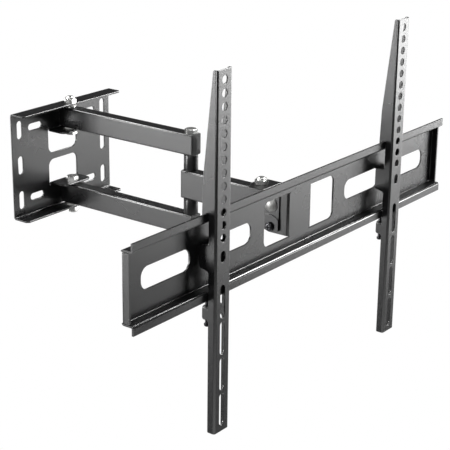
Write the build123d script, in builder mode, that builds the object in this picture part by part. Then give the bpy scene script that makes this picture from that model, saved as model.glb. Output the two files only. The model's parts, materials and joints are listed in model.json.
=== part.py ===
from build123d import *
import os

os.makedirs("parts", exist_ok=True)

# Full-motion wall mount for a television, in millimetres.
# X runs along the wall, +Y points into the wall and +Z is up.
# The origin is the middle of the wall plate's back face, so the mount stands out towards -Y.

# Wall plate
plate_width = 205.0
plate_height = 158.0
plate_thick = 2.5
plate_depth = 28.0
plate_corner = 4.0
plate_bend = 1.5
wall_slot_length = 27.0
wall_slot_width = 10.0
side_slot_x = 87.0
flat_slot_x = 56.0
wall_slot_pitch = 52.5
tab_half_width = 28.0
tab_relief = 1.5
tab_depth = 34.0
window_bridge = 10.0
window_round = 10.0

# Wall pivots and the double rear arm
wall_pivot_depth = 20.0
rear_arm_length = 226.0
rear_tube_height = 30.0
tube_width = 20.0
tube_wall = 1.5
tube_round = 2.5
sleeve_proud = 1.5
rear_tube_tail = 13.0
elbow_overhang = 8.0
wall_sleeve_across = 16.0
elbow_sleeve_across = 14.0
washer_across = 18.0
washer_thick = 2.0
elbow_spacer_across = 20.0
elbow_washer_thick = 1.5

# Front arm
front_arm_length = 120.0
front_tube_height = 40.0
front_tube_tail = 9.0
front_tube_nose = 8.0
cap_thick = 1.5
cap_peak = 1.2
cap_rib_depth = 6.0
cap_rib_thick = 1.2

# Pivot bolts and screws: thread, width across flats, head height, nut height
pivot_thread = 10.0
pivot_flats = 16.0
pivot_head = 6.4
pivot_nut = 9.0
swivel_thread = 10.0
swivel_flats = 16.0
swivel_head = 6.4
swivel_nut_height = 9.0
tilt_thread = 8.0
tilt_flats = 13.0
tilt_nut_height = 8.0
lock_thread = 6.0
lock_flats = 10.0
lock_nut_height = 5.0
lock_head_across = 13.0
lock_head_height = 4.4
safety_thread = 5.0
safety_head_across = 7.6
safety_head_height = 3.6
bolt_clearance = 0.1
thread_clearance = 0.05
bolt_end = 0.8

# Swivel and tilt head
swivel_washer_thick = 1.5
head_thick = 2.5
head_bend = 1.5
head_half_width = 23.0
head_web_gap = 15.2
head_ear_round = 14.0
head_ear_straight = 5.0
cheek_reach = 31.0
cheek_drop = 4.0
cheek_round = 6.0
tilt_up_from_arm = 10.0
tilt_ahead_of_swivel = 36.0
tilt_washer_thick = 1.0
tilt_washer_across = 22.0
lock_washer_across = 14.0
lock_radius = 30.0
tilt_back = 5.0
tilt_forward = 10.0
tilt_margin = 1.0
tilt_spacer_across = 12.0
clamp_thick = 2.0
clamp_boss_thick = 1.5
clamp_boss_radius = 16.5
clamp_front = 13.0
clamp_rear = 11.0
clamp_top = 18.0
clamp_bottom = 36.0
clamp_round = 5.0
tilt_dome_across = 20.6
tilt_dome_height = 4.8
tilt_neck_across = 8.4
tilt_neck_length = 1.8

# Rail
rail_length = 700.0
rail_thick = 2.5
rail_bend = 0.7
rail_inside_height = 87.0
rail_depth = 17.4
rail_lip = 9.5
rail_ahead_of_tilt = 26.7
end_flange_depth = 11.5
end_flange_gap = 0.6
end_cut_gap = 0.2
end_relief_across = 3.2
rail_cheek_outside = 26.5
rail_cheek_height = 58.0
rail_cheek_depth = 38.7
rail_cheek_round = 9.0
rail_window_end = 80.0
rail_window_height = 61.0
rail_window_round = 9.5
rail_slot_length = 89.0
rail_slot_height = 28.5
rail_slot_round = 12.0
rail_slot_inner_x = 152.0
rail_slot_outer_x = 274.5

# TV brackets
bracket_spacing = 400.0
bracket_width = 29.0
bracket_thick = 2.0
bracket_bend = 1.0
bracket_top = 227.5
bracket_bottom = 231.5
bracket_ahead_of_lip = 11.8
bracket_top_depth = 6.5
bracket_shoulder_z = 99.0
bracket_shoulder_depth = 20.0
hook_depth = 21.3
hook_drop = 7.5
lip_clearance = 0.5
hook_clearance = 0.7
heel_depth = 25.5
heel_top = 15.0
heel_bottom = 18.0
heel_slope = 3.0
lock_tab_top = 67.0
lock_tab_bottom = 81.0
lug_top = 63.5
lock_tab_depth = 20.5
hole_across = 10.0
hole_count = 13
hole_pitch = 16.0
top_hole_z = 215.5
short_slot_length = 14.0
slot_width = 9.0
slot_count = 4
slot_length = 43.0
slot_pitch = 48.0
first_slot_top = 36.0
lug_length = 16.0
safety_inboard = 6.0
safety_depth = 17.2
safety_drop = 24.5
safety_reach = 6.5

# Places worked out from the sizes above
rear_tube_level = plate_height / 2 - plate_thick - washer_thick - sleeve_proud - rear_tube_height / 2
tab_level = rear_tube_level - rear_tube_height / 2 - washer_thick - plate_thick
elbow_y = -wall_pivot_depth - rear_arm_length
swivel_y = elbow_y - front_arm_length
tilt_y = swivel_y - tilt_ahead_of_swivel
tilt_z = tilt_up_from_arm
lock_z = tilt_z - lock_radius
panel_front = tilt_y - rail_ahead_of_tilt
panel_back = panel_front + rail_thick
lip_front = panel_back - rail_depth
bracket_front = lip_front - bracket_ahead_of_lip
lip_top = rail_inside_height / 2 + rail_thick + rail_lip
head_inside = front_tube_height / 2 + swivel_washer_thick
head_outside = head_inside + head_thick
rail_cheek_inside = rail_cheek_outside - rail_thick
clamp_outside = rail_cheek_outside + clamp_thick
boss_outside = clamp_outside + clamp_boss_thick
elbow_spacer_length = rear_tube_level - rear_tube_height / 2 - front_tube_height / 2 - elbow_washer_thick


def save(piece, label):
    """Name a finished piece and write it."""
    piece.label = label
    export_step(piece, f"parts/{label}.step")


def side_plane(seat):
    """The plane through a seat's axis, with its x along the seat's x and its y along the seat's axis."""
    return Plane(origin=seat.origin, x_dir=seat.x_dir, z_dir=-seat.y_dir)


def upright(x, y, z, up=True):
    """A seat at a point, whose axis points up or down."""
    return Plane(origin=(x, y, z), x_dir=(1, 0, 0), z_dir=(0, 0, 1 if up else -1))


def sideways(side, x, y, z):
    """A seat at x on the right (side 1) or the left (side -1), whose axis points away from the middle."""
    return Plane(origin=(side * x, y, z), x_dir=(0, 1, 0), z_dir=(side, 0, 0))


def ring(seat, across, bore, height):
    """A washer, sleeve or spacer that stands on its seat."""
    with BuildPart() as piece:
        with BuildSketch(seat):
            Circle(across / 2)
            Circle(bore / 2, mode=Mode.SUBTRACT)
        extrude(amount=height)
    return piece.part


def hex_bolt(seat, thread, flats, head, length):
    """A hexagon bolt: the head stands on the seat and the shank runs back from it."""
    corner = flats / 2 / 0.866
    with BuildPart() as piece:
        with BuildSketch(seat):
            RegularPolygon(flats / 2, 6, major_radius=False)
        extrude(amount=head)
        with BuildSketch(side_plane(seat)):
            with BuildLine():
                Polyline(
                    (0, 0),
                    (corner, 0),
                    (corner, head - (corner - flats * 0.46) / 2),
                    (flats * 0.46, head),
                    (0, head),
                    close=True,
                )
            make_face()
        revolve(axis=Axis(seat.origin, seat.z_dir), mode=Mode.INTERSECT)
        with BuildSketch(side_plane(seat)):
            with BuildLine():
                Polyline(
                    (0, 0),
                    (thread / 2, 0),
                    (thread / 2, bolt_end - length),
                    (thread / 2 - bolt_end, -length),
                    (0, -length),
                    close=True,
                )
            make_face()
        revolve(axis=Axis(seat.origin, seat.z_dir))
    return piece.part


def lock_nut(seat, thread, flats, height):
    """A self-locking nut: a hexagon with a round collar that holds its nylon ring."""
    corner = flats / 2 / 0.866
    collar = flats * 0.44
    hex_height = height * 0.68
    with BuildPart() as piece:
        with BuildSketch(seat):
            RegularPolygon(flats / 2, 6, major_radius=False)
        extrude(amount=height)
        with BuildSketch(side_plane(seat)):
            with BuildLine():
                Polyline((0, 0), (flats * 0.48, 0), (corner, height * 0.08), (corner, hex_height))
                Line((corner, hex_height), (collar, hex_height + height * 0.08))
                Line((collar, hex_height + height * 0.08), (collar, height * 0.86))
                ThreePointArc((collar, height * 0.86), (collar * 0.93, height * 0.96), (collar * 0.78, height))
                Polyline((collar * 0.78, height), (0, height), (0, 0))
            make_face()
        revolve(axis=Axis(seat.origin, seat.z_dir), mode=Mode.INTERSECT)
        with BuildSketch(seat):
            Circle(thread / 2 + thread_clearance)
        extrude(amount=height, mode=Mode.SUBTRACT)
    return piece.part


def pan_screw(seat, thread, head_across, head_height, length):
    """A pan-head screw with a cross recess: the head stands on the seat and the shank runs back from it."""
    with BuildPart() as piece:
        with BuildSketch(side_plane(seat)):
            with BuildLine():
                Polyline(
                    (0, head_height),
                    (0, -length),
                    (thread / 2 - bolt_end / 2, -length),
                    (thread / 2, bolt_end / 2 - length),
                    (thread / 2, 0),
                    (head_across / 2, 0),
                    (head_across / 2, head_height * 0.35),
                )
                ThreePointArc(
                    (head_across / 2, head_height * 0.35),
                    (head_across * 0.41, head_height * 0.81),
                    (head_across * 0.25, head_height),
                )
                Line((head_across * 0.25, head_height), (0, head_height))
            make_face()
        revolve(axis=Axis(seat.origin, seat.z_dir))
        with BuildSketch(seat.offset(head_height)):
            Rectangle(head_across * 0.5, head_across * 0.13)
            Rectangle(head_across * 0.13, head_across * 0.5)
        extrude(amount=-head_height * 0.55, mode=Mode.SUBTRACT)
    return piece.part


def box_tube(start, end, level, height, holes):
    """A rectangular tube with rounded corners that runs along Y, with upright holes: place along Y and size."""
    with BuildPart() as piece:
        with BuildSketch(Plane.XZ.offset(-start)):
            with Locations((0, level)):
                RectangleRounded(tube_width, height, tube_round)
                RectangleRounded(
                    tube_width - 2 * tube_wall, height - 2 * tube_wall, tube_round - tube_wall, mode=Mode.SUBTRACT
                )
        extrude(amount=start - end)
        with BuildSketch(Plane.XY.offset(level)):
            for y, across in holes:
                with Locations((0, y)):
                    Circle(across / 2)
        extrude(amount=height, both=True, mode=Mode.SUBTRACT)
    return piece.part


def tube_cap(end, level, height, out):
    """A plastic plug for a tube's open end: a shallow pyramid outside, two ribs inside. out is 1 or -1 along Y."""
    face = Plane(origin=(0, end, level), x_dir=(-out, 0, 0), z_dir=(0, out, 0))
    with BuildPart() as piece:
        with BuildSketch(face):
            RectangleRounded(tube_width, height, tube_round)
        extrude(amount=cap_thick - cap_peak / 2)
        with BuildSketch(face.offset(cap_thick - cap_peak / 2)):
            RectangleRounded(tube_width, height, tube_round)
        with BuildSketch(face.offset(cap_thick + cap_peak / 2)):
            Rectangle(tube_width * 0.12, height - tube_width * 0.88)
        loft(ruled=True)
        with BuildSketch(face):
            inside = tube_width / 2 - tube_wall - thread_clearance - cap_rib_thick / 2
            with Locations((-inside, 0), (inside, 0)):
                Rectangle(cap_rib_thick, height - 3 * tube_round)
        extrude(amount=-cap_rib_depth)
    return piece.part


# Wall plate: one folded sheet. The metal of its two windows is folded out as the pivot tabs.
plate_mid = plate_thick / 2
flange_level = plate_height / 2 - plate_mid
bend_middle = plate_bend + plate_mid
window_top = tab_level + plate_thick + plate_bend + tab_relief
with BuildPart() as wall_plate:
    with BuildSketch(Plane.YZ):
        with BuildLine() as fold:
            FilletPolyline(
                (-plate_depth, flange_level),
                (-plate_mid, flange_level),
                (-plate_mid, -flange_level),
                (-plate_depth, -flange_level),
                radius=bend_middle,
            )
        trace(fold.line, line_width=plate_thick)
    extrude(amount=plate_width / 2, both=True)
    chamfer(wall_plate.edges().filter_by(Axis.Z).group_by(Axis.Y)[0], plate_corner)
    with BuildSketch(Plane.XZ):
        window_height = window_top - window_bridge / 2
        for side in (1, -1):
            with Locations((0, side * (window_bridge / 2 + window_height / 2))):
                window = Rectangle(2 * (tab_half_width + tab_relief), window_height)
            bridge_corners = window.vertices().group_by(Axis.Y)[0 if side == 1 else -1]
            fillet(bridge_corners, window_round)
    extrude(amount=plate_thick, mode=Mode.SUBTRACT)
    for side in (1, -1):
        with BuildSketch(Plane.YZ):
            with BuildLine() as tab_fold:
                FilletPolyline(
                    (-tab_depth, side * (tab_level + plate_mid)),
                    (-plate_mid, side * (tab_level + plate_mid)),
                    (-plate_mid, side * window_top),
                    radius=bend_middle,
                )
            trace(tab_fold.line, line_width=plate_thick)
        extrude(amount=tab_half_width, both=True)
    tab_corners = (
        wall_plate.edges()
        .filter_by(Axis.Z)
        .filter_by(lambda e: abs(e.center().Y + tab_depth) < 0.01)
    )
    fillet(tab_corners, window_round)
    with BuildSketch(Plane.XZ):
        with GridLocations(2 * side_slot_x, wall_slot_pitch, 2, 3):
            SlotOverall(wall_slot_length, wall_slot_width, rotation=90)
        with GridLocations(2 * flat_slot_x, 2 * wall_slot_pitch, 2, 2):
            SlotOverall(wall_slot_length, wall_slot_width)
    extrude(amount=plate_thick, mode=Mode.SUBTRACT)
    with BuildSketch(Plane.XY):
        with Locations((0, -wall_pivot_depth)):
            Circle((pivot_thread + bolt_clearance) / 2)
    extrude(amount=plate_height, both=True, mode=Mode.SUBTRACT)
save(wall_plate.part, "wall_plate")

# Wall pivots: the bolt heads lie inside, on the two tabs, and the nuts outside, on the flanges.
tube_inner = rear_tube_level - rear_tube_height / 2
tube_outer = rear_tube_level + rear_tube_height / 2
wall_sleeve_end = tube_outer + sleeve_proud
wall_bolt_length = plate_height / 2 + pivot_nut + bolt_end - tab_level
for name, side in (("upper", 1), ("lower", -1)):
    up = side == 1
    bolt_seat = upright(0, -wall_pivot_depth, side * tab_level, not up)
    save(hex_bolt(bolt_seat, pivot_thread, pivot_flats, pivot_head, wall_bolt_length), f"wall_bolt_{name}")
    nut_seat = upright(0, -wall_pivot_depth, side * plate_height / 2, up)
    save(lock_nut(nut_seat, pivot_thread, pivot_flats, pivot_nut), f"wall_nut_{name}")
    inner_seat = upright(0, -wall_pivot_depth, side * (tab_level + plate_thick), up)
    outer_seat = upright(0, -wall_pivot_depth, side * wall_sleeve_end, up)
    washer_bore = pivot_thread + bolt_clearance
    high, low = (outer_seat, inner_seat) if up else (inner_seat, outer_seat)
    save(ring(high, washer_across, washer_bore, washer_thick), f"{name}_wall_washer_top")
    save(ring(low, washer_across, washer_bore, washer_thick), f"{name}_wall_washer_bottom")
    sleeve_seat = upright(0, -wall_pivot_depth, side * tube_inner, up)
    sleeve_bore = pivot_thread + 2 * bolt_clearance
    sleeve = ring(sleeve_seat, wall_sleeve_across, sleeve_bore, wall_sleeve_end - tube_inner)
    save(sleeve, f"{name}_wall_sleeve")

# Rear arm: two tubes, one above the other, joined at the elbow by the bolt and two round spacers.
for name, side in (("upper", 1), ("lower", -1)):
    tube_start = rear_tube_tail - wall_pivot_depth
    tube_end = elbow_y - elbow_overhang
    wall_hole = (-wall_pivot_depth, wall_sleeve_across + 2 * thread_clearance)
    elbow_hole = (elbow_y, elbow_sleeve_across + 2 * thread_clearance)
    level = side * rear_tube_level
    tube = box_tube(tube_start, tube_end, level, rear_tube_height, (wall_hole, elbow_hole))
    save(tube, f"{name}_arm_tube")
    cap = tube_cap(tube_end, level, rear_tube_height, -1)
    save(cap, f"{name}_arm_cap")
    sleeve_seat = upright(0, elbow_y, side * tube_inner, side == 1)
    sleeve = ring(sleeve_seat, elbow_sleeve_across, pivot_thread + 2 * thread_clearance, rear_tube_height)
    save(sleeve, f"{name}_elbow_sleeve")
    washer_seat = upright(0, elbow_y, side * front_tube_height / 2, side == 1)
    washer = ring(washer_seat, elbow_spacer_across, pivot_thread + 2 * thread_clearance, elbow_washer_thick)
    save(washer, f"{name}_elbow_washer")
    spacer_seat = upright(0, elbow_y, side * (front_tube_height / 2 + elbow_washer_thick), side == 1)
    spacer = ring(spacer_seat, elbow_spacer_across, pivot_thread + 2 * thread_clearance, elbow_spacer_length)
    save(spacer, f"{name}_elbow_spacer")
elbow_bolt_length = 2 * tube_outer + pivot_nut + bolt_end
save(
    hex_bolt(upright(0, elbow_y, tube_outer), pivot_thread, pivot_flats, pivot_head, elbow_bolt_length),
    "elbow_bolt",
)
save(lock_nut(upright(0, elbow_y, -tube_outer, False), pivot_thread, pivot_flats, pivot_nut), "elbow_nut")

# Front arm: one taller tube that folds in between the two rear tubes.
front_start = elbow_y + front_tube_tail
front_end = swivel_y - front_tube_nose
swivel_hole = (swivel_y, elbow_sleeve_across + 2 * thread_clearance)
front_tube = box_tube(front_start, front_end, 0, front_tube_height, (elbow_hole, swivel_hole))
save(front_tube, "front_arm_tube")
for name, y, thread in (("front_elbow", elbow_y, pivot_thread), ("front_head", swivel_y, swivel_thread)):
    seat = upright(0, y, -front_tube_height / 2)
    sleeve = ring(seat, elbow_sleeve_across, thread + 2 * bolt_clearance, front_tube_height)
    save(sleeve, f"{name}_sleeve")
save(tube_cap(front_start, 0, front_tube_height, 1), "front_elbow_cap")
save(tube_cap(front_end, 0, front_tube_height, -1), "front_head_cap")

# Swivel bracket: one sheet with an ear above and below the arm's end and two cheeks that reach forward.
web_back = swivel_y - head_web_gap
web_front = web_back - head_thick
head_mid = head_thick / 2
cheek_front = web_front - cheek_reach
cheek_height = 2 * head_outside + cheek_drop
with BuildPart() as swivel_bracket:
    with BuildSketch(Plane.XY.offset(-head_outside - cheek_drop)):
        with BuildLine() as cheek_fold:
            FilletPolyline(
                (head_mid - head_half_width, cheek_front),
                (head_mid - head_half_width, web_front + head_mid),
                (head_half_width - head_mid, web_front + head_mid),
                (head_half_width - head_mid, cheek_front),
                radius=head_bend + head_mid,
            )
        trace(cheek_fold.line, line_width=head_thick)
    extrude(amount=cheek_height)
    fillet(swivel_bracket.edges().filter_by(Axis.X).group_by(Axis.Y)[0], cheek_round)
    for side in (1, -1):
        with BuildSketch(Plane.XY.offset(side * (head_inside + head_mid) - head_mid)):
            with Locations((0, swivel_y)):
                Circle(head_ear_round)
            with Locations((0, (web_front + swivel_y + head_ear_straight) / 2)):
                Rectangle(2 * head_half_width, swivel_y + head_ear_straight - web_front)
            make_hull()
        extrude(amount=head_thick)
    with BuildSketch(Plane.YZ):
        with Locations((tilt_y, tilt_z)):
            Circle(tilt_thread / 2 + bolt_clearance / 2)
        with Locations((tilt_y, lock_z)):
            Circle(lock_thread / 2 + bolt_clearance / 2)
    extrude(amount=head_half_width, both=True, mode=Mode.SUBTRACT)
    with BuildSketch(Plane.XY):
        with Locations((0, swivel_y)):
            Circle((swivel_thread + bolt_clearance) / 2)
    extrude(amount=front_tube_height, both=True, mode=Mode.SUBTRACT)
save(swivel_bracket.part, "swivel_bracket")

# Swivel pivot
swivel_bolt_length = 2 * head_outside + swivel_nut_height + bolt_end
swivel_bolt_seat = upright(0, swivel_y, -head_outside, False)
save(hex_bolt(swivel_bolt_seat, swivel_thread, swivel_flats, swivel_head, swivel_bolt_length), "swivel_bolt")
swivel_nut_seat = upright(0, swivel_y, head_outside)
save(lock_nut(swivel_nut_seat, swivel_thread, swivel_flats, swivel_nut_height), "swivel_nut")
for name, side in (("upper", 1), ("lower", -1)):
    seat = upright(0, swivel_y, side * front_tube_height / 2, side == 1)
    washer = ring(seat, washer_across, swivel_thread + bolt_clearance, swivel_washer_thick)
    save(washer, f"{name}_swivel_washer")

# Tilt pivot: a dome-headed bolt from the left, whose square neck sits in the clamp plate, and a nut on the right
dome_seat = sideways(-1, clamp_outside, tilt_y, tilt_z)
tilt_bolt_length = 2 * clamp_outside + tilt_nut_height + bolt_end
dome_rise = tilt_dome_height - bolt_end
dome_radius = ((tilt_dome_across / 2) ** 2 + dome_rise**2) / (2 * dome_rise)
dome_middle = tilt_dome_height - dome_radius + (dome_radius**2 - (tilt_dome_across / 4) ** 2) ** 0.5
with BuildPart() as tilt_bolt:
    with BuildSketch(side_plane(dome_seat)):
        with BuildLine():
            Polyline(
                (0, tilt_dome_height),
                (0, -tilt_bolt_length),
                (tilt_thread / 2 - bolt_end, -tilt_bolt_length),
                (tilt_thread / 2, bolt_end - tilt_bolt_length),
                (tilt_thread / 2, 0),
                (tilt_dome_across / 2, 0),
                (tilt_dome_across / 2, bolt_end),
            )
            ThreePointArc(
                (tilt_dome_across / 2, bolt_end),
                (tilt_dome_across / 4, dome_middle),
                (0, tilt_dome_height),
            )
        make_face()
    revolve(axis=Axis(dome_seat.origin, dome_seat.z_dir))
    with BuildSketch(dome_seat):
        Rectangle(tilt_neck_across, tilt_neck_across)
    extrude(amount=-tilt_neck_length)
save(tilt_bolt.part, "tilt_bolt")
tilt_nut_seat = sideways(1, clamp_outside, tilt_y, tilt_z)
save(lock_nut(tilt_nut_seat, tilt_thread, tilt_flats, tilt_nut_height), "tilt_nut")
spacer_seat = sideways(1, head_thick - head_half_width, tilt_y, tilt_z)
spacer_length = 2 * (head_half_width - head_thick)
save(
    ring(spacer_seat, tilt_spacer_across, tilt_thread + 2 * thread_clearance, spacer_length),
    "tilt_spacer_tube",
)
for name, side in (("left", -1), ("right", 1)):
    cheek_seat = sideways(side, head_half_width, tilt_y, tilt_z)
    gap = rail_cheek_inside - head_half_width
    save(ring(cheek_seat, tilt_washer_across, tilt_thread + bolt_clearance, gap), f"{name}_tilt_washer")
    lock_seat = sideways(side, head_half_width, tilt_y, lock_z)
    save(ring(lock_seat, lock_washer_across, lock_thread + bolt_clearance, gap), f"{name}_lock_washer")
    screw_seat = sideways(side, boss_outside, tilt_y, lock_z)
    screw_length = boss_outside - head_half_width + head_thick + lock_nut_height + bolt_end
    screw = pan_screw(screw_seat, lock_thread, lock_head_across, lock_head_height, screw_length)
    save(screw, f"{name}_lock_screw")
    nut_seat = sideways(-side, -(head_half_width - head_thick), tilt_y, lock_z)
    save(lock_nut(nut_seat, lock_thread, lock_flats, lock_nut_height), f"{name}_lock_nut")
    with BuildPart() as clamp_plate:
        with BuildSketch(Plane.YZ.offset(side * rail_cheek_outside)) as clamp_outline:
            middle_y = tilt_y + (clamp_rear - clamp_front) / 2
            middle_z = tilt_z + (clamp_top - clamp_bottom) / 2
            with Locations((middle_y, middle_z)):
                RectangleRounded(clamp_front + clamp_rear, clamp_top + clamp_bottom, clamp_round)
        extrude(amount=side * clamp_thick)
        with BuildSketch(Plane.YZ.offset(side * clamp_outside)):
            add(clamp_outline.sketch_local)
            with Locations((tilt_y, lock_z)):
                Circle(clamp_boss_radius, mode=Mode.INTERSECT)
        extrude(amount=side * clamp_boss_thick)
        with BuildSketch(Plane.YZ.offset(side * rail_cheek_outside)):
            with Locations((tilt_y, tilt_z)):
                Circle(tilt_thread / 2 + bolt_clearance / 2)
            with Locations((tilt_y, lock_z)):
                Circle(lock_thread / 2 + bolt_clearance / 2)
        extrude(amount=side * (clamp_thick + clamp_boss_thick), mode=Mode.SUBTRACT)
        if name == "left":
            with BuildSketch(Plane.YZ.offset(-rail_cheek_outside)):
                with Locations((tilt_y, tilt_z)):
                    Rectangle(tilt_neck_across + bolt_clearance, tilt_neck_across + bolt_clearance)
            extrude(amount=-clamp_thick, mode=Mode.SUBTRACT)
    save(clamp_plate.part, f"{name}_clamp_plate")

# Rail: a pressed sheet with a recessed panel, two ledges, two lips, folded ends and two tilt cheeks.
rail_mid = rail_thick / 2
ledge_level = rail_inside_height / 2 + rail_mid
panel_mid = panel_front + rail_mid
lip_mid = lip_front + rail_mid
rail_radius = rail_bend + rail_mid
end_height = rail_inside_height - 2 * end_flange_gap
end_cut = 2 * rail_thick
slot_start = 270 - tilt_forward - tilt_margin
slot_sweep = tilt_back + tilt_forward + 2 * tilt_margin
slot_path = CenterArc((tilt_y, tilt_z), lock_radius, slot_start, slot_sweep)
with BuildPart() as rail:
    with BuildSketch(Plane.YZ):
        with BuildLine() as hat:
            FilletPolyline(
                (lip_mid, lip_top),
                (lip_mid, ledge_level),
                (panel_mid, ledge_level),
                (panel_mid, -ledge_level),
                (lip_mid, -ledge_level),
                (lip_mid, -lip_top),
                radius=rail_radius,
            )
        trace(hat.line, line_width=rail_thick)
    extrude(amount=rail_length / 2, both=True)
    # The panel's ends are folded forward between the ledges, with a relief hole at each corner
    with BuildSketch(Plane.XZ.offset(-panel_back)):
        with GridLocations(rail_length - end_cut, 0, 2, 1):
            Rectangle(end_cut, rail_inside_height - 2 * end_cut_gap)
    extrude(amount=rail_thick + rail_bend / 2, mode=Mode.SUBTRACT)
    for side in (1, -1):
        with BuildSketch(Plane.XY.offset(-end_height / 2)):
            with BuildLine() as end_fold:
                FilletPolyline(
                    (side * (rail_length / 2 - end_cut - rail_thick), panel_mid),
                    (side * (rail_length / 2 - rail_mid), panel_mid),
                    (side * (rail_length / 2 - rail_mid), panel_back - end_flange_depth),
                    radius=rail_radius,
                )
            trace(end_fold.line, line_width=rail_thick)
        extrude(amount=end_height)
    with BuildSketch(Plane.XZ.offset(-panel_back)):
        with GridLocations(rail_length - 2 * end_cut, end_height, 2, 2):
            Circle(end_relief_across / 2)
    extrude(amount=rail_thick + rail_bend / 2, mode=Mode.SUBTRACT)
    # Centre windows, whose metal is folded back as the tilt cheeks
    fold_start = rail_cheek_inside - rail_bend - tab_relief
    with BuildSketch(Plane.XZ.offset(-panel_back)):
        for side in (1, -1):
            with Locations((side * (fold_start + rail_window_end) / 2, 0)):
                window = Rectangle(rail_window_end - fold_start, rail_window_height)
            outer_corners = window.vertices().group_by(Axis.X)[-1 if side == 1 else 0]
            fillet(outer_corners, rail_window_round)
        with GridLocations(2 * rail_slot_inner_x, 0, 2, 1):
            RectangleRounded(rail_slot_length, rail_slot_height, rail_slot_round)
        with GridLocations(2 * rail_slot_outer_x, 0, 2, 1):
            RectangleRounded(rail_slot_length, rail_slot_height, rail_slot_round)
    extrude(amount=rail_thick, mode=Mode.SUBTRACT)
    cheek_mid = rail_cheek_outside - rail_mid
    for side in (1, -1):
        with BuildSketch(Plane.XY.offset(-rail_cheek_height / 2)):
            with BuildLine() as tilt_fold:
                FilletPolyline(
                    (side * fold_start, panel_mid),
                    (side * cheek_mid, panel_mid),
                    (side * cheek_mid, panel_front + rail_cheek_depth),
                    radius=rail_radius,
                )
            trace(tilt_fold.line, line_width=rail_thick)
        extrude(amount=rail_cheek_height)
    fillet(rail.edges().filter_by(Axis.X).group_by(Axis.Y)[-1], rail_cheek_round)
    # Pivot holes, and the curved slots that the lock screws slide in
    with BuildSketch(Plane.YZ):
        with Locations((tilt_y, tilt_z)):
            Circle(tilt_thread / 2 + bolt_clearance)
        SlotArc(slot_path, lock_thread + 4 * bolt_clearance)
    extrude(amount=rail_cheek_outside, both=True, mode=Mode.SUBTRACT)
save(rail.part, "rail")

# TV brackets: a channel whose flanges hook over the rail's upper lip and are locked behind its lower lip.
lip_seat = bracket_ahead_of_lip
lip_back = lip_seat + rail_thick
front_gap = lip_seat - lip_clearance
side_outline = [
    (0, bracket_top),
    (bracket_top_depth, bracket_top),
    (bracket_shoulder_depth, bracket_shoulder_z),
    (hook_depth, lip_top + 2 * hook_clearance),
    (hook_depth, lip_top - hook_drop),
    (lip_back + hook_clearance, lip_top - hook_drop),
    (lip_back + hook_clearance, lip_top),
    (front_gap, lip_top),
    (front_gap, heel_top),
    (heel_depth, heel_top),
    (heel_depth, heel_slope - heel_bottom),
    (front_gap, -heel_bottom),
    (front_gap, -lock_tab_top),
    (lock_tab_depth, -lock_tab_top),
    (lock_tab_depth, -lock_tab_bottom),
    (front_gap, -lock_tab_bottom),
    (front_gap, -bracket_bottom),
    (0, -bracket_bottom),
]
side_rounds = [0, 2, 30, 2, 1.5, 0, 0.6, 0.6, 3, 4, 4, 4, 1.5, 1.5, 3, 3, 1.5, 0]
for name, side in (("left", -1), ("right", 1)):
    centre_x = side * bracket_spacing / 2
    with BuildPart() as tv_bracket:
        with BuildSketch(Plane.YZ.offset(centre_x)):
            with BuildLine():
                points = [(bracket_front + depth, z) for depth, z in side_outline]
                FilletPolyline(*points, radius=side_rounds, close=True)
            make_face()
        extrude(amount=bracket_width / 2, both=True)
        front_edges = tv_bracket.edges().filter_by(Axis.Z).group_by(Axis.Y)[0]
        fillet(front_edges, bracket_thick + bracket_bend)
        with BuildSketch(Plane.XY.offset(-bracket_bottom)):
            channel = heel_depth + bracket_thick
            with Locations((centre_x, bracket_front + bracket_thick + channel / 2)):
                hollow = Rectangle(bracket_width - 2 * bracket_thick, channel)
            fillet(hollow.vertices().group_by(Axis.Y)[0], bracket_bend)
        extrude(amount=bracket_top + bracket_bottom, mode=Mode.SUBTRACT)
        with BuildSketch(Plane.XZ.offset(-bracket_front)):
            for index in range(hole_count):
                with Locations((centre_x, top_hole_z - index * hole_pitch)):
                    Circle(hole_across / 2)
            with Locations((centre_x, 0)):
                SlotOverall(short_slot_length, slot_width, rotation=90)
            for index in range(slot_count):
                slot_middle = -first_slot_top - slot_length / 2 - index * slot_pitch
                with Locations((centre_x, slot_middle)):
                    SlotOverall(slot_length, slot_width, rotation=90)
        extrude(amount=-bracket_thick, mode=Mode.SUBTRACT)
        # Lug folded in from the left flange's tab, which carries the safety screw
        lug_left = centre_x - bracket_width / 2
        lug_fold = lug_left + bracket_thick / 2
        lug_mid = -lug_top - bracket_thick / 2
        lug_front = front_gap + bracket_thick / 2
        screw_x = lug_left + safety_inboard
        screw_y = bracket_front + safety_depth
        with BuildSketch(Plane.XZ.offset(-bracket_front - lug_front)):
            with BuildLine() as lug_path:
                FilletPolyline(
                    (lug_fold, -lock_tab_top - bracket_thick),
                    (lug_fold, lug_mid),
                    (lug_left + lug_length, lug_mid),
                    radius=bracket_bend + bracket_thick / 2,
                )
            trace(lug_path.line, line_width=bracket_thick)
        extrude(amount=lug_front - lock_tab_depth)
        with BuildSketch(Plane.XY.offset(lug_mid)):
            with Locations((screw_x, screw_y)):
                Circle(safety_thread / 2 + thread_clearance)
        extrude(amount=bracket_thick, both=True, mode=Mode.SUBTRACT)
    save(tv_bracket.part, f"{name}_tv_bracket")
    screw_tip = -lip_top + safety_reach
    screw_seat = upright(screw_x, screw_y, -lug_top - safety_drop, False)
    screw_length = screw_tip + lug_top + safety_drop
    safety = pan_screw(screw_seat, safety_thread, safety_head_across, safety_head_height, screw_length)
    save(safety, f"{name}_safety_screw")
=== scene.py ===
import json
import math

import bmesh
import bpy
from mathutils import Matrix, Vector


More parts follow.
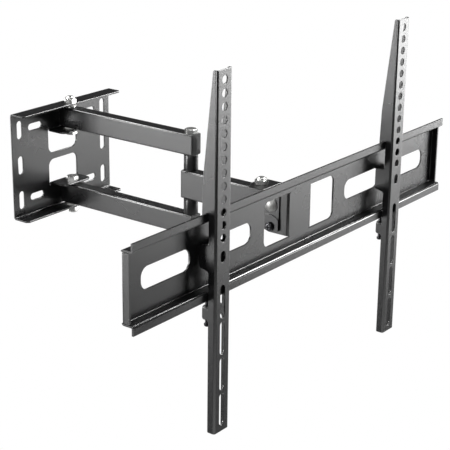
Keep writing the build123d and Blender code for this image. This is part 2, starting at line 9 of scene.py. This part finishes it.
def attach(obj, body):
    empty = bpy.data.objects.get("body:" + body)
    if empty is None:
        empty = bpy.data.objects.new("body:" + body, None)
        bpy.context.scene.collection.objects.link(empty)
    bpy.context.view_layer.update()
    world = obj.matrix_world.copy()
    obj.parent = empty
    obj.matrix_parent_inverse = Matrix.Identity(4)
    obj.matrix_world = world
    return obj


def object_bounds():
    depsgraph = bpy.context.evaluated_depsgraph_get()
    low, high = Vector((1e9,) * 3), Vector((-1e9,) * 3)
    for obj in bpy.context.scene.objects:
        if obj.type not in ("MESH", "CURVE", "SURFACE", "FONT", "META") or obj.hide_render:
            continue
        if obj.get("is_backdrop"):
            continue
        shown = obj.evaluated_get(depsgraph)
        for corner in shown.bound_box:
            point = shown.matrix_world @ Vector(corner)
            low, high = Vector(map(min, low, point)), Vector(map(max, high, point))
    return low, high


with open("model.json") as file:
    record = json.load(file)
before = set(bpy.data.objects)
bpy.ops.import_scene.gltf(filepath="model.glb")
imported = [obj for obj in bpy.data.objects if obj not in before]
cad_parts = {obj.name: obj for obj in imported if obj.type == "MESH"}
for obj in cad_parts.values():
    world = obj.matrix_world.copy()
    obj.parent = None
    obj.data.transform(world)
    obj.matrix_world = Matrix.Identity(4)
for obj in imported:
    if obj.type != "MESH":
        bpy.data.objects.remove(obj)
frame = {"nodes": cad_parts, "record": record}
cad_low, cad_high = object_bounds()
nodes = frame["nodes"]

MM = 0.001


def linear(text):
    """An sRGB hex colour as the linear RGBA that Blender's sockets take."""
    values = [int(text[i : i + 2], 16) / 255 for i in (1, 3, 5)]
    return tuple(v / 12.92 if v <= 0.04045 else ((v + 0.055) / 1.055) ** 2.4 for v in values) + (1.0,)


def socket_of(node, name):
    """An input of a node, by its place or by its name among those in use."""
    if isinstance(name, int):
        return node.inputs[name]
    return next(socket for socket in node.inputs if socket.enabled and socket.name == name)


def result(node):
    """The first output in use of a node."""
    return next(socket for socket in node.outputs if socket.enabled)


def add_node(tree, kind, links=None, **settings):
    """One node: settings are its properties, or its inputs by name; links are input to output socket."""
    node = tree.nodes.new(kind)
    values = {}
    for name, value in settings.items():
        if hasattr(node, name):
            setattr(node, name, value)
        else:
            values[name.replace("_", " ")] = value
    for name, value in values.items():
        socket_of(node, name).default_value = value
    for name, output in (links or {}).items():
        tree.links.new(output, socket_of(node, name))
    return node


# Camera at the photograph's angle: its place in metres, its lens and sensor in mm
CAMERA_PLACE = Vector((-1.41936, -1.38065, 0.57482))
CAMERA_AZIMUTH = math.radians(52.87)
CAMERA_DROP = math.radians(19.26)
CAMERA_ROLL = math.radians(0.66)
CAMERA_LENS = 109.98
SENSOR_WIDTH = 36.0
FAR_CLIP = 20.0

ahead = Vector(
    (
        math.sin(CAMERA_AZIMUTH) * math.cos(CAMERA_DROP),
        math.cos(CAMERA_AZIMUTH) * math.cos(CAMERA_DROP),
        -math.sin(CAMERA_DROP),
    )
)
level = Vector((math.cos(CAMERA_AZIMUTH), -math.sin(CAMERA_AZIMUTH), 0))
upward = level.cross(ahead)
right = level * math.cos(CAMERA_ROLL) + upward * math.sin(CAMERA_ROLL)
over = upward * math.cos(CAMERA_ROLL) - level * math.sin(CAMERA_ROLL)
camera = bpy.data.objects.new("camera", bpy.data.cameras.new("camera"))
camera.data.lens = CAMERA_LENS
camera.data.sensor_width = SENSOR_WIDTH
camera.data.clip_end = FAR_CLIP
turn = Matrix((right, over, -ahead)).transposed().to_4x4()
camera.matrix_world = Matrix.Translation(CAMERA_PLACE) @ turn
bpy.context.collection.objects.link(camera)
bpy.context.scene.camera = camera
bpy.context.scene.view_settings.view_transform = "Standard"


def new_material(name):
    """An empty node material with its Principled shader and its Object coordinates."""
    material = bpy.data.materials.new(name)
    material.use_nodes = True
    tree = material.node_tree
    tree.nodes.clear()
    shader = add_node(tree, "ShaderNodeBsdfPrincipled")
    add_node(tree, "ShaderNodeOutputMaterial", {"Surface": result(shader)})
    place = add_node(tree, "ShaderNodeTexCoord").outputs["Object"]
    return material, tree, shader, place


def mottled(tree, shader, place, cloud_size, detail, dark, light):
    """Colours a shader in clouds between two shades, cloud_size in mm, and returns how light they are."""
    cloud = add_node(
        tree, "ShaderNodeTexNoise", {"Vector": place}, Scale=1 / (cloud_size * MM), Detail=detail
    )
    links = {"Factor": result(cloud)}
    tint = add_node(tree, "ShaderNodeMix", links, data_type="RGBA", A=linear(dark), B=linear(light))
    tree.links.new(result(tint), shader.inputs["Base Color"])
    return result(cloud)


# A face whose normal has a part along one axis above FLAT is a flat, and one below BENT is all bend
FLAT = 0.985
BENT = 0.95
# The walls of the slots through a sheet have no part of their normal along Y, and its bends have more
SLOT_WALL = 0.05
SHEET_BEND = 0.2


def bend_mask(tree, sheet):
    """0 on the flats of a piece and 1 on its bends and broken edges, from the piece's own normal.

    On a sheet the walls of the slots count as flats, round ends and all.
    """
    facing = add_node(tree, "ShaderNodeTexCoord").outputs["Normal"]
    size = add_node(tree, "ShaderNodeVectorMath", {0: facing}, operation="ABSOLUTE")
    part = add_node(tree, "ShaderNodeSeparateXYZ", {0: result(size)}).outputs
    across = add_node(tree, "ShaderNodeMath", {0: part["X"], 1: part["Y"]}, operation="MAXIMUM")
    most = add_node(tree, "ShaderNodeMath", {0: result(across), 1: part["Z"]}, operation="MAXIMUM")
    bend = add_node(tree, "ShaderNodeMapRange", {"Value": result(most)}, From_Min=FLAT, From_Max=BENT)
    if not sheet:
        return result(bend)
    slope = add_node(
        tree, "ShaderNodeMapRange", {"Value": part["Y"]}, From_Min=SLOT_WALL, From_Max=SHEET_BEND
    )
    links = {0: result(bend), 1: result(slope)}
    return result(add_node(tree, "ShaderNodeMath", links, operation="MULTIPLY"))


# Powder coat: its orange peel in mm, how much of it shows on flats and on bends, and its sheen on flats
PEEL_GRAIN = 1.1
PEEL_DEPTH = 0.4
PEEL_ON_FLATS = 0.35
PEEL_ON_BENDS = 0.04
COAT_IOR = 1.6
COAT_SMOOTH = 0.25
COAT_ROUGH = 0.31


def powder_coat(name, bend_rough, bend_ior, sheet=False):
    """Satin black polyester powder coat on steel: a fine orange peel breaks up its soft reflections.

    The coat flows out thinner and glossier over bends and edges, which draws a light line along them.
    """
    material, tree, shader, place = new_material(name)
    cloud = mottled(tree, shader, place, cloud_size=70.0, detail=3.0, dark="#151516", light="#1b1b1c")
    bend = bend_mask(tree, sheet)
    flat = add_node(
        tree, "ShaderNodeMapRange", {"Value": cloud}, To_Min=COAT_SMOOTH, To_Max=COAT_ROUGH
    )
    links = {"Factor": bend, "A": result(flat)}
    rough = add_node(tree, "ShaderNodeMix", links, data_type="FLOAT", B=bend_rough)
    tree.links.new(result(rough), shader.inputs["Roughness"])
    gloss = add_node(tree, "ShaderNodeMapRange", {"Value": bend}, To_Min=COAT_IOR, To_Max=bend_ior)
    tree.links.new(result(gloss), shader.inputs["IOR"])
    peel = add_node(
        tree, "ShaderNodeTexNoise", {"Vector": place}, Scale=1 / (PEEL_GRAIN * MM), Detail=2.0
    )
    relief = add_node(
        tree, "ShaderNodeMapRange", {"Value": bend}, To_Min=PEEL_ON_FLATS, To_Max=PEEL_ON_BENDS
    )
    links = {"Height": result(peel), "Strength": result(relief)}
    bump = add_node(tree, "ShaderNodeBump", links, Distance=PEEL_DEPTH * MM)
    tree.links.new(result(bump), shader.inputs["Normal"])
    return material


def zinc_plate(name, dark, light, smooth, rough):
    """Zinc plate on turned and forged steel: a hard, slightly cloudy mirror, duller where it is rougher."""
    material, tree, shader, place = new_material(name)
    cloud = mottled(tree, shader, place, cloud_size=8.3, detail=3.0, dark=dark, light=light)
    shader.inputs["Metallic"].default_value = 0.9
    sheen = add_node(tree, "ShaderNodeMapRange", {"Value": cloud}, To_Min=smooth, To_Max=rough)
    tree.links.new(result(sheen), shader.inputs["Roughness"])
    return material


def nylon():
    """Natural white nylon, moulded: off-white, with a soft sheen."""
    material, tree, shader, place = new_material("nylon_natural_white")
    mottled(tree, shader, place, cloud_size=3.3, detail=2.0, dark="#e6e6e2", light="#f2f2ef")
    shader.inputs["Roughness"].default_value = 0.45
    return material


# Grain of the mould in the plastic caps, in mm: coarser than the real one, so that it shows
MOULD_GRAIN = 0.7
MOULD_DEPTH = 0.3


def plastic():
    """Black moulded polyethylene of the tube caps: duller than the coat, with a faint mould grain."""
    material, tree, shader, place = new_material("polyethylene_moulded_black")
    mottled(tree, shader, place, cloud_size=17.0, detail=2.0, dark="#161616", light="#1e1e1e")
    grain = add_node(
        tree, "ShaderNodeTexNoise", {"Vector": place}, Scale=1 / (MOULD_GRAIN * MM), Detail=2.0
    )
    links = {"Height": result(grain)}
    bump = add_node(tree, "ShaderNodeBump", links, Strength=0.2, Distance=MOULD_DEPTH * MM)
    tree.links.new(result(bump), shader.inputs["Normal"])
    shader.inputs["Roughness"].default_value = 0.5
    return material


def black_oxide():
    """Black oxide on the cross-recess screws: dark steel with a thin oily gloss."""
    material, tree, shader, place = new_material("black_oxide_steel")
    mottled(tree, shader, place, cloud_size=5.0, detail=3.0, dark="#3c3c3e", light="#565658")
    shader.inputs["Metallic"].default_value = 0.9
    shader.inputs["Roughness"].default_value = 0.24
    return material


FINISHES = {
    "black_steel": powder_coat("powder_coat_satin_black", bend_rough=0.24, bend_ior=2.6, sheet=True),
    "zinc_steel": zinc_plate("zinc_plate_bright", "#dcdcda", "#ececea", smooth=0.22, rough=0.3),
    "white_nylon": nylon(),
    "black_plastic": plastic(),
    "black_screw_steel": black_oxide(),
}
# The corner rounds of the arm tubes are the bends there, whichever way they face
tube_coat = powder_coat("powder_coat_satin_black_tube", bend_rough=0.24, bend_ior=2.6)
# Turned spacers have no folds, so their coat is the same all round
turned_coat = powder_coat("powder_coat_satin_black_turned", bend_rough=0.3, bend_ior=COAT_IOR)
# The forged dome of the tilt bolt is plated in a barrel, which leaves its gloss rougher than the turned
# hexagons'
# Its darker base colour is painted shade, because the dome sits deep inside the rail's window
rough_zinc_painted_shade = zinc_plate("zinc_plate_barrel_painted_shade", "#a2a2a0", "#b0b0ae", smooth=0.4, rough=0.48)
PART_FINISHES = {
    "upper_arm_tube": tube_coat,
    "lower_arm_tube": tube_coat,
    "front_arm_tube": tube_coat,
    "upper_elbow_spacer": turned_coat,
    "lower_elbow_spacer": turned_coat,
    "tilt_spacer_tube": turned_coat,
    "tilt_bolt": rough_zinc_painted_shade,
}

# How far the edges of each stuff are broken, in mm
EDGE_BREAK = {
    "black_steel": 0.5,
    "zinc_steel": 0.25,
    "white_nylon": 0.2,
    "black_plastic": 0.3,
    "black_screw_steel": 0.2,
}
# Folded parts whose coat rounds every edge in full; on the others the smallest face limits it
FULL_BREAK = ("wall_plate", "swivel_bracket", "left_tv_bracket", "right_tv_bracket")
SHARP_ANGLE = math.radians(40)
BREAK_STEPS = 3
# Corners nearer than this, in mm, are one corner, and triangles this nearly in a plane are one face
WELD_REACH = 0.01
PLANE_ANGLE = math.radians(0.5)


def finish_node(name, slot):
    """Gives a CAD node its finish, and breaks its sharp edges as the real piece's are."""
    piece = nodes[name]
    piece.data.materials.clear()
    piece.data.materials.append(PART_FINISHES.get(name, FINISHES[slot]))
    weld = piece.modifiers.new("weld", "WELD")
    weld.merge_threshold = WELD_REACH * MM
    flat = piece.modifiers.new("flat", "DECIMATE")
    flat.decimate_type = "DISSOLVE"
    flat.angle_limit = PLANE_ANGLE
    bevel = piece.modifiers.new("edge_break", "BEVEL")
    bevel.width = EDGE_BREAK[slot] * MM
    bevel.segments = BREAK_STEPS
    bevel.limit_method = "ANGLE"
    bevel.angle_limit = SHARP_ANGLE
    bevel.use_clamp_overlap = name not in FULL_BREAK
    bevel.harden_normals = True


body_of = {
    node: body for body, members in frame["record"]["behaviour"]["bodies"].items() for node in members
}
for row in frame["record"]["subparts"]:
    finish_node(row["node"], row["material_slot"])


def box_of(name):
    """The low and high corners of a CAD node, in metres."""
    places = [vertex.co for vertex in nodes[name].data.vertices]
    lows = Vector([min(place[i] for place in places) for i in range(3)])
    highs = Vector([max(place[i] for place in places) for i in range(3)])
    return lows, highs


def turned_ring(name, centre, axis, profile, material, steps=48):
    """A ring turned about an axis: the profile's points are radius and height, in metres, in order."""
    mesh = bpy.data.meshes.new(name)
    shape = bmesh.new()
    spin = axis.to_track_quat("Z", "Y")
    points = []
    for step in range(steps):
        angle = 2 * math.pi * step / steps
        for radius, height in profile:
            spot = Vector((radius * math.cos(angle), radius * math.sin(angle), height))
            points.append(shape.verts.new(centre + spin @ spot))
    count = len(profile)
    for step in range(steps):
        here = step * count
        there = (step + 1) % steps * count
        for i in range(count):
            k = (i + 1) % count
            shape.faces.new([points[j] for j in (here + i, there + i, there + k, here + k)])
    bmesh.ops.recalc_face_normals(shape, faces=shape.faces)
    shape.to_mesh(mesh)
    shape.free()
    mesh.materials.append(material)
    piece = bpy.data.objects.new(name, mesh)
    bpy.context.collection.objects.link(piece)
    return piece


# The nylon ring in each lock nut: its thread's diameter in mm, and the axis that points out of the nut
LOCK_NUTS = {
    "wall_nut_upper": (10.0, (0, 0, 1)),
    "wall_nut_lower": (10.0, (0, 0, -1)),
    "elbow_nut": (10.0, (0, 0, -1)),
    "swivel_nut": (10.0, (0, 0, 1)),
    "tilt_nut": (8.0, (1, 0, 0)),
    "left_lock_nut": (6.0, (1, 0, 0)),
    "right_lock_nut": (6.0, (-1, 0, 0)),
}
# A ring in mm: play and wall from the thread outwards, depth in the nut and height above its face
RING_PLAY = 0.06
RING_WALL = 0.55
RING_DEPTH = 0.6
RING_PROUD = 0.18
# Share of that height which the slope of its lip takes
LIP_SHARE = 0.6

for nut, (thread, direction) in LOCK_NUTS.items():
    low, high = box_of(nut)
    axis = Vector(direction)
    reach = (high - low).dot(Vector([abs(v) for v in axis])) / 2
    face = (low + high) / 2 + axis * reach
    inside = (thread / 2 + RING_PLAY) * MM
    outside = (thread / 2 + RING_WALL) * MM
    foot = -RING_DEPTH * MM
    top = RING_PROUD * MM
    lip = top * LIP_SHARE
    profile = [
        (inside, foot),
        (outside, foot),
        (outside, top - lip),
        (outside - lip, top),
        (inside, top),
    ]
    ring = turned_ring(f"{nut}_nylon_ring", face, axis, profile, FINISHES["white_nylon"])
    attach(ring, body_of[nut])


# The ridge of a thread is a three-sided bar, its radius this share of the pitch
RIDGE_SHARE = 0.36
RIDGE_SIDES = 3
STEPS_PER_TURN = 18
# Points of a thread nearer than this, in mm, are one
THREAD_WELD = 0.001


def thread_tree(material):
    """Geometry Nodes for a screw thread: a three-sided ridge swept along a spiral."""
    tree = bpy.data.node_groups.new("screw_thread", "GeometryNodeTree")
    tree.interface.new_socket("Geometry", in_out="OUTPUT", socket_type="NodeSocketGeometry")
    for label in ("Radius", "Pitch", "Length"):
        tree.interface.new_socket(label, in_out="INPUT", socket_type="NodeSocketFloat")
    tree.interface.new_socket("Foot", in_out="INPUT", socket_type="NodeSocketVector")
    given = add_node(tree, "NodeGroupInput").outputs
    turns = add_node(tree, "ShaderNodeMath", {0: given["Length"], 1: given["Pitch"]}, operation="DIVIDE")
    links = {
        "Rotations": result(turns),
        "Start Radius": given["Radius"],
        "End Radius": given["Radius"],
        "Height": given["Length"],
    }
    spiral = add_node(tree, "GeometryNodeCurveSpiral", links, Resolution=STEPS_PER_TURN)
    ridge = add_node(tree, "ShaderNodeMath", {0: given["Pitch"]}, operation="MULTIPLY")
    ridge.inputs[1].default_value = RIDGE_SHARE
    links = {"Radius": result(ridge)}
    crest = add_node(tree, "GeometryNodeCurvePrimitiveCircle", links, Resolution=RIDGE_SIDES)
    links = {"Curve": result(spiral), "Profile Curve": result(crest)}
    sweep = add_node(tree, "GeometryNodeCurveToMesh", links, Fill_Caps=True)
    links = {"Geometry": result(sweep), "Translation": given["Foot"]}
    place = add_node(tree, "GeometryNodeTransform", links)
    solid = add_node(tree, "GeometryNodeRealizeInstances", {"Geometry": result(place)})
    coat = add_node(tree, "GeometryNodeSetMaterial", {"Geometry": result(solid)}, Material=material)
    add_node(tree, "NodeGroupOutput", {"Geometry": result(coat)})
    return tree


def threaded(name, tree, sizes):
    """Runs the thread's tree with its sizes and keeps the result as a plain mesh."""
    carrier = bpy.data.objects.new(f"{name}_carrier", bpy.data.meshes.new(f"{name}_carrier"))
    bpy.context.collection.objects.link(carrier)
    modifier = carrier.modifiers.new("thread", "NODES")
    modifier.node_group = tree
    for item in tree.interface.items_tree:
        if item.in_out == "INPUT":
            modifier[item.identifier] = sizes[item.name]
    bpy.context.view_layer.update()
    seen = carrier.evaluated_get(bpy.context.evaluated_depsgraph_get())
    mesh = bpy.data.meshes.new_from_object(seen)
    piece = bpy.data.objects.new(name, mesh)
    bpy.context.collection.objects.link(piece)
    bpy.data.objects.remove(carrier)
    shape = bmesh.new()
    shape.from_mesh(mesh)
    bmesh.ops.remove_doubles(shape, verts=shape.verts, dist=THREAD_WELD * MM)
    bmesh.ops.recalc_face_normals(shape, faces=shape.faces)
    shape.to_mesh(mesh)
    shape.free()
    return piece


# M5 safety screws, in mm: the thread runs from just past the head to just short of the tip
SAFETY_PITCH = 0.8
SAFETY_RADIUS = 2.36
SAFETY_HEAD = 3.6
HEAD_GAP = 0.6
TIP_GAP = 0.8

screw_thread = thread_tree(FINISHES["black_screw_steel"])
for side in ("left", "right"):
    low, high = box_of(f"{side}_safety_screw")
    start = low.z + (SAFETY_HEAD + HEAD_GAP) * MM
    sizes = {
        "Radius": SAFETY_RADIUS * MM,
        "Pitch": SAFETY_PITCH * MM,
        "Length": high.z - start - TIP_GAP * MM,
        "Foot": ((low.x + high.x) / 2, (low.y + high.y) / 2, start),
    }
    safety_thread = threaded(f"{side}_safety_thread", screw_thread, sizes)
    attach(safety_thread, f"{side}_bracket")


LIGHT_TARGET = Vector((0, -0.30, 0))
LIGHT_DISTANCE = 2.4
BOX_SIDE = 0.8


def soft_box(name, azimuth, elevation, power, width=BOX_SIDE, height=BOX_SIDE, away=LIGHT_DISTANCE):
    """A soft box that faces the mount: angles in degrees, azimuth from +X towards +Y, sizes in metres."""
    lamp = bpy.data.objects.new(name, bpy.data.lights.new(name, "AREA"))
    lamp.data.shape = "RECTANGLE"
    lamp.data.size = width
    lamp.data.size_y = height
    lamp.data.energy = power
    turn = math.radians(azimuth)
    lift = math.radians(elevation)
    outward = Vector((math.cos(turn) * math.cos(lift), math.sin(turn) * math.cos(lift), math.sin(lift)))
    place = Matrix.Translation(LIGHT_TARGET + outward * away)
    lamp.matrix_world = place @ outward.to_track_quat("Z", "Y").to_matrix().to_4x4()
    bpy.context.collection.objects.link(lamp)


# The row on the right lights the fronts from the level of the rail, so that they darken downwards
soft_box("front_row_left", -45, 0, 6.5)
soft_box("front_row_right", -30, 0, 21.0)
soft_box("front_low_left", -45, -12, 5.6)
soft_box("front_low_right", -30, -12, 2.3)
soft_box("front_low_end", -14, -12, 1.8)
# The arms' sides mirror these two
soft_box("arm_side_low", 143, -14, 7.2)
soft_box("arm_side_level", 143, 2, 33.0)
# These two light the sides that face left, and the heads of the bolts
soft_box("left_fill", 188, 14, 8.0)
soft_box("left_high", 200, 44, 9.0)
# Overhead boxes draw the light lines along the bends of the rail and of the tubes
soft_box("top_fill", 48, 70, 4.0)
soft_box("bend_box", -10, 47, 270.0, width=2.4, height=2.4, away=4.5)
soft_box("edge_bar", 120, 50, 18.0, width=1.2, height=0.5)
soft_box("edge_end", 100, 38, 9.0)
# The wall side and the right end are lit from their own level, out of the camera's reflections
soft_box("wall_side_low", 92, -12, 9.0, width=1.2)
soft_box("wall_side_right", 45, -8, 9.0, width=1.2)
soft_box("right_end_low", 0, -10, 5.0)

WHITE = (1, 1, 1, 1)
ROOM_LIGHT = 0.05
FLOOR_TONE = "#c4c4c4"
FLOOR_HALF = 6.0
FLOOR_LEVEL = -2.2


def white_to_camera(tree, lit, white, output):
    """Shows the camera the white shader, and every other ray the lit one."""
    path = add_node(tree, "ShaderNodeLightPath")
    links = {0: path.outputs["Is Camera Ray"], 1: result(lit), 2: result(white)}
    mix = add_node(tree, "ShaderNodeMixShader", links)
    add_node(tree, output, {"Surface": result(mix)})


# A white surround that only the camera sees
world = bpy.data.worlds.new("studio")
bpy.context.scene.world = world
world.use_nodes = True
tree = world.node_tree
tree.nodes.clear()
dim = add_node(tree, "ShaderNodeBackground", Color=WHITE, Strength=ROOM_LIGHT)
bright = add_node(tree, "ShaderNodeBackground", Color=WHITE, Strength=1.0)
white_to_camera(tree, dim, bright, "ShaderNodeOutputWorld")

# A pale floor well below the mount
floor_material = bpy.data.materials.new("studio_floor")
floor_material.use_nodes = True
tree = floor_material.node_tree
tree.nodes.clear()
pale = add_node(tree, "ShaderNodeBsdfDiffuse", Color=linear(FLOOR_TONE))
glow = add_node(tree, "ShaderNodeEmission", Color=WHITE, Strength=1.0)
white_to_camera(tree, pale, glow, "ShaderNodeOutputMaterial")
floor_mesh = bpy.data.meshes.new("floor")
corners = [(x * FLOOR_HALF, y * FLOOR_HALF, FLOOR_LEVEL) for x, y in ((-1, -1), (1, -1), (1, 1), (-1, 1))]
floor_mesh.from_pydata(corners, [], [(0, 1, 2, 3)])
floor_mesh.materials.append(floor_material)
floor = bpy.data.objects.new("floor", floor_mesh)
bpy.context.collection.objects.link(floor)
floor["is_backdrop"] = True

low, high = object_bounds()
sizes = {"cad": [list(cad_low), list(cad_high)], "visual": [list(low), list(high)]}
